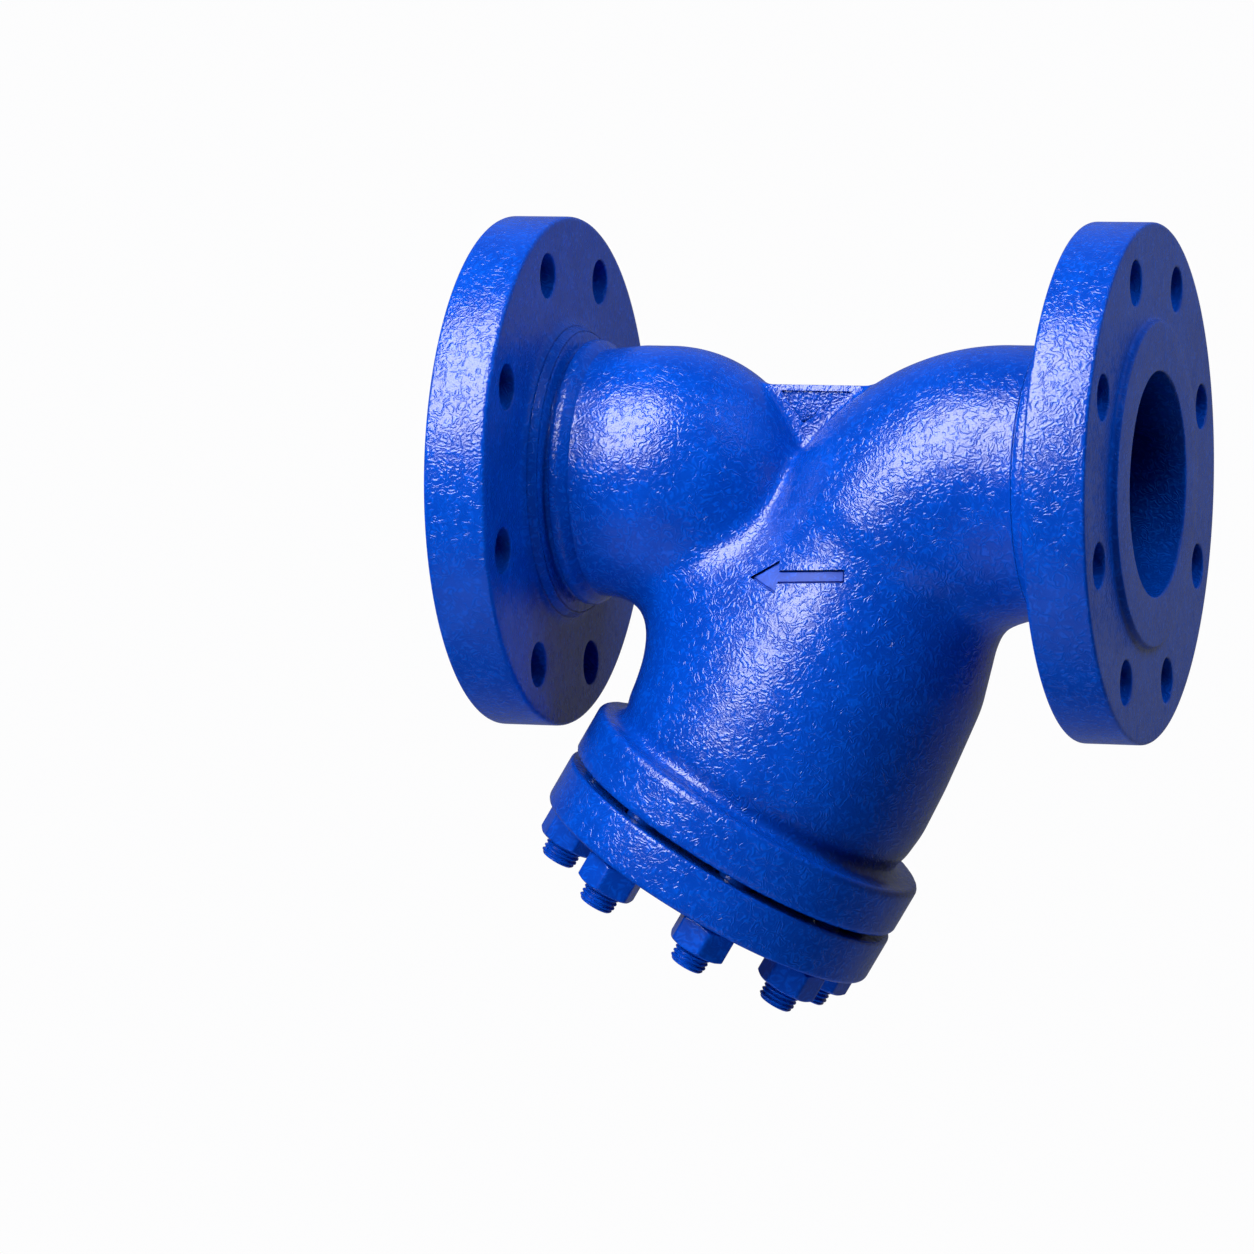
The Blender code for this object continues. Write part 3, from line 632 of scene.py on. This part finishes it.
# The screen catches the dirt. It is stainless sheet, punched with staggered round holes and rolled to a tube.
# A ring turned from stainless bar is welded to each end: one sits on the body's seat, the other in the cover.
branch = Axis((BRANCH_X, 0, 0), (DOWN_X, 0, DOWN_Z), (DOWN_Z, 0, -DOWN_X))
SCREEN_TOP, SCREEN_BOTTOM = 38.3, 180.9
SCREEN_IN, SCREEN_OUT = 38.7, 39.8
HOLES_ROUND, HOLES_LONG = 48, 30
HOLE_RADIUS = 1.55


def punched_tube(axis, top, bottom, inner, outer, around, rows, hole):
    """Thin tube of cells with a round hole in each. A cell's edge is a rectangle of 16 points, each joined to
    the point of the hole in the same direction, and every second row is moved round by half a cell."""
    wide, high = 2 * np.pi * outer / around, (bottom - top) / rows
    side = np.linspace(-0.5, 0.5, 5)
    loop = np.concatenate([
        np.stack([side[:-1], np.full(4, -0.5)]), np.stack([np.full(4, 0.5), side[:-1]]),
        np.stack([side[:0:-1], np.full(4, 0.5)]), np.stack([np.full(4, -0.5), side[:0:-1]]),
    ], 1)
    edge = loop * np.array([[wide], [high]])
    round_hole = edge / lengths(*edge) * hole
    flat = np.stack([edge, round_hole, round_hole, edge])
    depth = np.array([outer, outer, inner, inner])[:, None] + 0 * flat[:, 0]
    row, column = np.meshgrid(np.arange(rows), np.arange(around), indexing="ij")
    angle = (flat[:, 0] + ((column + 0.5 * (row % 2)) * wide)[..., None, None]) / outer
    along = top + (row[..., None, None] + 0.5) * high + flat[:, 1]
    points = axis.at(along, depth * np.cos(angle), depth * np.sin(angle))
    _, ring = lattice(np.zeros((*depth.shape, 3)))
    cells = ring + depth.size * np.arange(rows * around)[:, None, None]
    turn = 2 * np.pi * np.arange(4 * around) / (4 * around) - np.pi / around
    sides = np.array([[inner], [outer]])
    ends = [
        lattice(axis.at(place, sides * np.cos(turn), sides * np.sin(turn))) for place in (top, bottom)
    ]
    return together((points.reshape(-1, 3), cells.reshape(-1, 4)), *ends)


def bare_metal(name, colour, roughness, mark_depth, scale=(1, 1, 1)):
    """Bare metal with fine marks from rolling or turning, drawn out along the axis whose scale is small."""
    finish = Finish(name, Metallic=1.0)
    stretched = finish.node("ShaderNodeMapping", (), {"Vector": finish.place, "Scale": scale})
    marks = finish.noise(900, roughness=0.6, place=stretched)
    stain = finish.noise(60, detail=3.0).between(0.35, 0.75)
    darker = tuple(0.72 * part for part in colour)
    finish.put(finish.shader.inputs["Base Color"], finish.blend(stain, (*colour, 1.0), (*darker, 1.0)))
    finish.put(finish.shader.inputs["Roughness"], marks * 0.22 + stain * 0.08 + roughness)
    finish.bump(marks, mark_depth)
    return finish.material


sheet_steel = bare_metal(
    "rolled_stainless_sheet", (0.56, 0.56, 0.57), roughness=0.26, mark_depth=0.00002, scale=(1, 0.2, 1)
)
net, faces = punched_tube(
    branch, SCREEN_TOP, SCREEN_BOTTOM, SCREEN_IN, SCREEN_OUT, HOLES_ROUND, HOLES_LONG, HOLE_RADIUS
)
add_piece("punched_screen", net, faces, "screen", "stainless_sheet", sheet_steel, ["screen"])
turned_steel = bare_metal(
    "turned_stainless_ring", (0.60, 0.60, 0.61), roughness=0.18, mark_depth=0.00002, scale=(1, 0.05, 1)
)
RING_IN, RING_OUT, RING_GROOVE = 37.5, 42, 41.4
for name, low, high in (("screen_top_ring", 30.3, 38.0), ("screen_bottom_ring", 181.2, 189.2)):
    middle = (low + high) / 2
    section = [
        (low, RING_IN, 0.4), (low, RING_OUT, 0.8),
        (middle - 1, RING_OUT, 0.2), (middle - 0.4, RING_GROOVE, 0.2),
        (middle + 0.4, RING_GROOVE, 0.2), (middle + 1, RING_OUT, 0.2),
        (high, RING_OUT, 0.8), (high, RING_IN, 0.4),
    ]
    net, faces = together(turned(branch, rounded(section, 4), closed=True))
    add_piece(f"turned_{name}", net, faces, "screen", "stainless_ring", turned_steel, [name])


# A flat ring cut from graphite sheet with a thin steel core seals the cover to the branch flange.
# Only its edge shows, as a black line in the gap.
GASKET_TOP, GASKET_BOTTOM, GASKET_IN, GASKET_OUT = 180.8, 183.2, 48.3, 53.3
BLACK_GRAPHITE, GREY_GRAPHITE = (0.012, 0.012, 0.013, 1), (0.05, 0.05, 0.053, 1)
graphite = Finish("graphite_sheet", Metallic=0.0)
flakes = graphite.noise(1800, detail=3.0, roughness=0.6)
graphite.put(graphite.shader.inputs["Base Color"], graphite.blend(flakes, BLACK_GRAPHITE, GREY_GRAPHITE))
graphite.put(graphite.shader.inputs["Roughness"], flakes * 0.3 + 0.5)
graphite.bump(flakes, 0.00006)
middle = (GASKET_TOP + GASKET_BOTTOM) / 2
section = [
    (GASKET_TOP, GASKET_IN, 0.2), (GASKET_TOP, GASKET_OUT, 0.4), (middle - 0.15, GASKET_OUT - 0.1, 0.05),
    (middle, GASKET_OUT, 0.05), (middle + 0.15, GASKET_OUT - 0.1, 0.05), (GASKET_BOTTOM, GASKET_OUT, 0.4),
    (GASKET_BOTTOM, GASKET_IN, 0.2),
]
net, faces = together(turned(branch, rounded(section, 4), closed=True))
add_piece("graphite_gasket", net, faces, "cover", "gasket_graphite", graphite.material, ["cover_gasket"])


# The cover is a thick round cast plate with rounded edges, a turned recess that holds the end of the screen,
# eight drilled stud holes and a tapped hole in the middle. It is painted with the body.
COVER_TOP, COVER_BOTTOM = 183.5, 204.5
STUD_CIRCLE, COVER_STUD_HOLE = 62.0, 9.0
STUD_HOLE_LIP = 0.6
DRAIN_HOLE = 10.75
RECESS_RADIUS, RECESS_FLOOR = 42.4, 189.5
COVER_IN, COVER_OUT = 50, 75
outside = [
    (COVER_BOTTOM, COVER_OUT, 0), (COVER_BOTTOM, RIM_RADIUS, 2.6), (COVER_TOP, RIM_RADIUS, 1.6),
    (COVER_TOP, COVER_OUT, 0),
]
inside = [
    (COVER_TOP, COVER_IN, 0), (COVER_TOP, RECESS_RADIUS, 0.8), (RECESS_FLOOR, RECESS_RADIUS, 0.8),
    (RECESS_FLOOR, DRAIN_HOLE, 0.5), (COVER_BOTTOM, DRAIN_HOLE, 0.5), (COVER_BOTTOM, COVER_IN, 0),
]
band = holed_band(
    branch, COVER_IN, COVER_OUT, COVER_TOP, COVER_BOTTOM, STUD_CIRCLE, COVER_STUD_HOLE, STUD_HOLE_LIP
)
net, faces = together(turned(branch, rounded(outside, 7)), turned(branch, rounded(inside, 5)), *band)
add_piece("cast_cover", net, faces, "cover", "blue_enamel", cast_enamel, ["cover"])


# Eight steel studs are screwed into the branch flange and stand out of the cover by a nut and a few threads.
# They were painted with the body, so the thread's crests are soft.
STUD_FOOT, STUD_END, STUD_RADIUS = 178.5, 225.6, 8.0
THREAD_START, PITCH, THREAD_DEPTH, STUD_CHAMFER = 198.0, 2.0, 0.85, 1.2
STUD_COUNT, STUD_COLUMNS = 8, 28
THREAD_PROFILE = np.array([0, 0, 0.5, 1, 1, 0.5])
smooth_enamel = enamel(
    "smooth_blue_enamel", wrinkle_depth=0.000018, wrinkle_size=0.006, roughness=0.22, grain_depth=0.6
)


def threaded_rod(axis, centre, foot, start, end, radius, pitch, depth, chamfer):
    """Rod with a screw thread: the rows of its net climb by one pitch in each turn, so each crest is a row.
    The thread's depth grows over its first turn, and rows past an end are laid on that end."""
    steps = len(THREAD_PROFILE)
    rows = np.arange(-steps, steps * int((end - start) / pitch + 2))
    columns = np.arange(STUD_COLUMNS + 1)
    place = start + pitch * (rows[:, None] / steps + columns / STUD_COLUMNS)
    place = np.clip(place, start, end)
    profile = THREAD_PROFILE[rows % steps][:, None]
    grown = np.clip((place - start) / pitch, 0, 1)
    edge = radius - np.clip(place - end + chamfer, 0, None)
    size = np.minimum(radius - depth * profile * grown, edge)
    angle = 2 * np.pi * columns / STUD_COLUMNS
    shank = np.array([foot, foot, start])[:, None] + 0 * columns
    place = np.concatenate([shank, place, np.full((2, len(columns)), end)])
    edges = np.array([0.0, radius, radius])[:, None] + 0 * columns
    tips = np.array([0.6 * (radius - chamfer), 0.0])[:, None] + 0 * columns
    size = np.concatenate([edges, size, tips])
    rod = axis.at(place, centre[0] + size * np.cos(angle), centre[1] + size * np.sin(angle))
    return lattice(rod, close_columns=False)


stud_angles = np.radians(360 / STUD_COUNT * (np.arange(STUD_COUNT) + 0.5))
for number, angle in enumerate(stud_angles, 1):
    centre = STUD_CIRCLE * np.cos(angle), STUD_CIRCLE * np.sin(angle)
    rod = threaded_rod(
        branch, centre, STUD_FOOT, THREAD_START, STUD_END, STUD_RADIUS, PITCH, THREAD_DEPTH, STUD_CHAMFER
    )
    add_piece(
        f"threaded_stud_{number}", *together(rod), "body_with_studs", "blue_enamel_smooth", smooth_enamel,
        [f"stud_{number}"], crisp=45,
    )


# Eight hexagon nuts hold the cover. They are forged and tapped, with a 30 degree chamfer at both ends.
# Each stopped at its own turn when it was tightened, and they were painted with the body.
NUT_TOP, NUT_BOTTOM, NUT_FLATS, NUT_BORE = 204.8, 217.8, 24.0, 8.3
CHAMFER_FROM, CHAMFER_SLOPE = 11.3, math.tan(math.radians(30))
CORNER_EASE, MOUTH_CHAMFER = 1.136, 0.7
NUT_COLUMNS = 96
NUT_TURNS = (4, 22, 35, 11, 19, 37, 57, 28)


def hexagon_ring(axis, centre, low, high, flats, bore, turn):
    """Nut: its radius is half the width across flats over the cosine of the angle from a flat's middle, with
    the corners eased. A cone cuts both ends, so its edge climbs towards each corner."""
    angle = 2 * np.pi * np.arange(NUT_COLUMNS) / NUT_COLUMNS
    from_flat = (angle + np.pi / 6) % (np.pi / 3) - np.pi / 6
    radius = flats / 2 / np.cos(from_flat)
    radius = np.minimum(radius, flats / 2 * CORNER_EASE)
    cone = (radius - CHAMFER_FROM) * CHAMFER_SLOPE
    start = CHAMFER_FROM + 0 * angle
    halfway = 0.55 * radius + 0.45 * start
    side = radius + 0.02
    rings = [
        (low + MOUTH_CHAMFER, bore), (low, bore + MOUTH_CHAMFER), (low, start), (low + 0.55 * cone, halfway),
        (low + cone, radius), (low + cone + 0.5, side), ((low + high) / 2, side),
        (high - cone - 0.5, side), (high - cone, radius), (high - 0.55 * cone, halfway),
        (high, start), (high, bore + MOUTH_CHAMFER), (high - MOUTH_CHAMFER, bore),
    ]
    along, size = (np.array([part[k] + 0 * angle for part in rings]) for k in (0, 1))
    angle = angle + turn
    return axis.at(along, centre[0] + size * np.cos(angle), centre[1] + size * np.sin(angle))


for number, (angle, turn) in enumerate(zip(stud_angles, NUT_TURNS), 1):
    centre = STUD_CIRCLE * np.cos(angle), STUD_CIRCLE * np.sin(angle)
    ring = hexagon_ring(branch, centre, NUT_TOP, NUT_BOTTOM, NUT_FLATS, NUT_BORE, math.radians(turn))
    net, faces = together(lattice(ring, close_rows=True))
    add_piece(
        f"hexagon_nut_{number}", net, faces, f"nut_{number}", "blue_enamel_smooth", smooth_enamel,
        [f"nut_{number}"], crisp=24, soften=0.35,
    )


# The drain plug is screwed into the middle of the cover, and dirt is blown out through its hole. It is one
# forging, a low hexagon with a threaded shank, and it is painted with the body.
HEAD_LOW, HEAD_HIGH, SHANK_RADIUS, SHANK_END = 206.6, 212.6, 10.45, 190.5
HEAD_BORE, HEAD_TURN = 6.0, math.radians(13)
GROOVE_DEPTH, SHANK_NECK, SHANK_THREADS = 0.45, 1.6, 13


def circles(axis, outline, angle):
    """Rings of points about an axis, one to each (along, radius) of an outline, at given angles."""
    along, radius = (outline[:, k][:, None] for k in (0, 1))
    return axis.at(along + 0 * angle, radius * np.cos(angle), radius * np.sin(angle))


nut_rings = hexagon_ring(branch, (0, 0), HEAD_LOW, HEAD_HIGH, NUT_FLATS, HEAD_BORE, HEAD_TURN)
head = nut_rings[2:-2]
angle = 2 * np.pi * np.arange(NUT_COLUMNS) / NUT_COLUMNS + HEAD_TURN
dimple = np.array([(HEAD_HIGH, 7.2), (HEAD_HIGH - 0.4, 6.6), (HEAD_HIGH - 1.0, 3.5), (HEAD_HIGH - 1.1, 0.0)])
turns = np.arange(0, SHANK_THREADS, 0.25)
groove = GROOVE_DEPTH * (0.5 - 0.5 * np.cos(2 * np.pi * turns))
thread = np.stack([HEAD_LOW - SHANK_NECK - turns, SHANK_RADIUS - groove], 1)
shank_tip = [(SHANK_END, 0.0), (SHANK_END, 9.2), (SHANK_END + 1.2, 10.3)]
shank = np.concatenate([shank_tip, thread[::-1], [(HEAD_LOW, SHANK_RADIUS)]])
plug = np.concatenate([circles(branch, shank, angle), head, circles(branch, dimple, angle)])
net, faces = together(lattice(plug))
add_piece(
    "hexagon_drain_plug", net, faces, "drain_plug", "blue_enamel_smooth", smooth_enamel, ["drain_plug"],
    crisp=24, soften=0.3,
)


# A flat ring stamped from soft copper sheet seals the plug. It lies under the plug's head, round the shank,
# and is squeezed flat when the plug is screwed up.
SEAL_LOW, SEAL_HIGH, SEAL_IN, SEAL_OUT = 204.8, 206.3, 10.75, 13.5
copper = bare_metal("soft_copper", (0.72, 0.36, 0.20), roughness=0.24, mark_depth=0.00001)
section = [
    (SEAL_LOW, SEAL_IN, 0.3), (SEAL_LOW, SEAL_OUT, 0.5),
    (SEAL_HIGH, SEAL_OUT, 0.5), (SEAL_HIGH, SEAL_IN, 0.3),
]
net, faces = together(turned(branch, rounded(section, 5), closed=True))
add_piece("copper_seal_ring", net, faces, "drain_plug", "copper_seal", copper, ["drain_plug_seal"])


# The studio has one big soft key light above on the left, and three fill lights at the side, behind and below
# that give no highlights of their own. The surround looks white, but reflects dark in front and grey behind.
LIT_POINT = Vector((0.0, 0.0, -0.05))
PALE = (0.98, 0.98, 0.985, 1)
DARK_IN_FRONT, GREY_BEHIND = (0.012, 0.014, 0.02, 1), (0.17, 0.18, 0.20, 1)


def way_to(azimuth, height):
    """Direction at an azimuth to the right of the front and a height angle above level, in radians."""
    return Vector((
        math.sin(azimuth) * math.cos(height), -math.cos(azimuth) * math.cos(height), math.sin(height)
    ))


def lamp(name, azimuth, height, distance, size, power):
    """Area light in a direction given in degrees, at a distance in metres, that faces the lit point."""
    way = way_to(math.radians(azimuth), math.radians(height))
    light = bpy.data.lights.new(name, "AREA")
    light.shape, light.energy = "RECTANGLE", power
    light.size, light.size_y = size
    source = bpy.data.objects.new(name, light)
    source.location = LIT_POINT + distance * way
    source.rotation_euler = way.to_track_quat("Z", "Y").to_euler()
    source.visible_camera = False
    bpy.context.scene.collection.objects.link(source)
    return source


lamp("key", azimuth=-26, height=39, distance=1.6, size=(0.8, 1.6), power=57)
side_fill = lamp("side", azimuth=78, height=46, distance=1.4, size=(0.8, 0.8), power=15)
back_fill = lamp("back", azimuth=195, height=30, distance=2.4, size=(1.6, 1.6), power=34)
low_fill = lamp("low", azimuth=-22, height=-58, distance=2.2, size=(2.2, 1.6), power=44)
for fill in (side_fill, back_fill, low_fill):
    fill.visible_glossy = False

world = bpy.data.worlds.new("studio")
bpy.context.scene.world = world
world.use_nodes = True
tree = world.node_tree
paths = tree.nodes.new("ShaderNodeLightPath")
way = tree.nodes.new("ShaderNodeTexCoord")
split = tree.nodes.new("ShaderNodeSeparateXYZ")
behind = tree.nodes.new("ShaderNodeMapRange")
surround = tree.nodes.new("ShaderNodeMix")
backdrop = tree.nodes.new("ShaderNodeMix")
surround.data_type = backdrop.data_type = "RGBA"
behind.interpolation_type = "SMOOTHSTEP"
behind.inputs["From Min"].default_value, behind.inputs["From Max"].default_value = 0.15, 0.9
surround.inputs[6].default_value, surround.inputs[7].default_value = DARK_IN_FRONT, GREY_BEHIND
backdrop.inputs[7].default_value = PALE
tree.links.new(way.outputs["Generated"], split.inputs[0])
tree.links.new(split.outputs["Y"], behind.inputs["Value"])
tree.links.new(behind.outputs[0], surround.inputs[0])
tree.links.new(surround.outputs[2], backdrop.inputs[6])
tree.links.new(paths.outputs["Is Camera Ray"], backdrop.inputs[0])
tree.links.new(backdrop.outputs[2], tree.nodes["Background"].inputs["Color"])


# The floor is a wide sheet of pale paper well below the part. It shines evenly, so it meets the surround
# without a line, and it lights nothing.
FLOOR_Z, FLOOR_HALF = -3.5, 30
floor_corners = [(x * FLOOR_HALF, y * FLOOR_HALF, FLOOR_Z) for x, y in ((-1, -1), (1, -1), (1, 1), (-1, 1))]
floor_mesh = bpy.data.meshes.new("floor")
floor_mesh.from_pydata(floor_corners, [], [(0, 1, 2, 3)])
floor = bpy.data.objects.new("floor", floor_mesh)
paper = Finish("pale_floor", Roughness=1.0, Emission_Strength=1.0, Specular_IOR_Level=0.0)
paper.put(paper.shader.inputs["Base Color"], (0, 0, 0, 1))
paper.put(paper.shader.inputs["Emission Color"], PALE)
floor_mesh.materials.append(paper.material)
bpy.context.scene.collection.objects.link(floor)
floor.visible_diffuse = floor.visible_glossy = False


# The camera stands 3 m away, a little to the right of the front and nearly level, tilted by about a degree.
# It looks past the part's middle on the left, so the part stands right of the middle of the frame.
AZIMUTH, HEIGHT_ANGLE, ROLL = (math.radians(angle) for angle in (18.58, 0.93, 1.36))
DISTANCE, ASIDE, UPWARD = 3.0, 0.08517, 0.06404
back = way_to(AZIMUTH, HEIGHT_ANGLE)
level = (-back).cross(Vector((0, 0, 1))).normalized()
upright = level.cross(-back)
right = math.cos(ROLL) * level + math.sin(ROLL) * upright
upward = math.cos(ROLL) * upright - math.sin(ROLL) * level
camera = bpy.data.objects.new("camera", bpy.data.cameras.new("camera"))
camera.data.lens, camera.data.sensor_width, camera.data.clip_end = 201.7, 36.0, 100.0
rows = [(*row, 0.0) for row in (right, upward, back)]
place = DISTANCE * back - ASIDE * right - UPWARD * upward
camera.matrix_world = Matrix(rows + [(*place, 1.0)]).transposed()
bpy.context.scene.collection.objects.link(camera)
bpy.context.scene.camera = camera
bpy.context.scene.view_settings.view_transform = "Standard"
